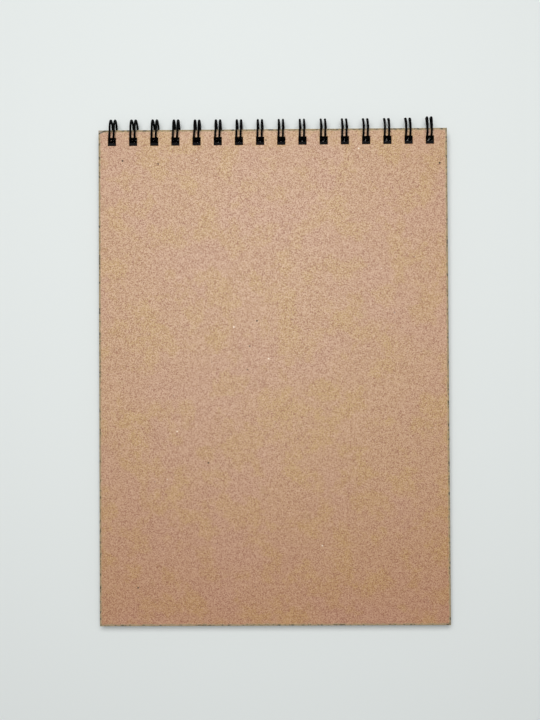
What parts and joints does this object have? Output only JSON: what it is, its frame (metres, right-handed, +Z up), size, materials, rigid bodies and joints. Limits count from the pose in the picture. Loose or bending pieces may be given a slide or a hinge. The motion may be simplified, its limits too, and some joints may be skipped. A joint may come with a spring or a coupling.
{
  "type": "twin-loop bound notebook",
  "caption": "Top-bound note pad with plain kraft board covers, black leaves, square punched holes and a black twin-loop wire that covers and leaves turn about.",
  "frame": {"origin": "under the middle of the pad and its loops, at the height of the loops' lowest point", "axes": "+X along the bound edge, +Y from the pad to the loops, +Z up through the front cover"},
  "size_m": [0.1392, 0.2024, 0.0095],
  "materials": {
    "kraft_board": "matt unbleached board with fine fibres and specks",
    "leaves": "matt black uncoated paper",
    "black_wire": "smooth black coating"
  },
  "bodies": {
    "base": {"back_cover": "kraft_board", "wire_binding": "black_wire"},
    "leaves": {"page_block": "leaves"},
    "front": {"front_cover": "kraft_board"}
  },
  "joints": [
    {"name": "leaves_turn", "type": "hinge", "parent": "base", "child": "leaves", "pos_m": [0, 0.09646, 0.00473], "axis": [-1, 0, 0], "range_deg": [0, 180]},
    {"name": "front_turn", "type": "hinge", "parent": "leaves", "child": "front", "pos_m": [0, 0.09646, 0.00473], "axis": [-1, 0, 0], "range_deg": [0, 180]}
  ]
}
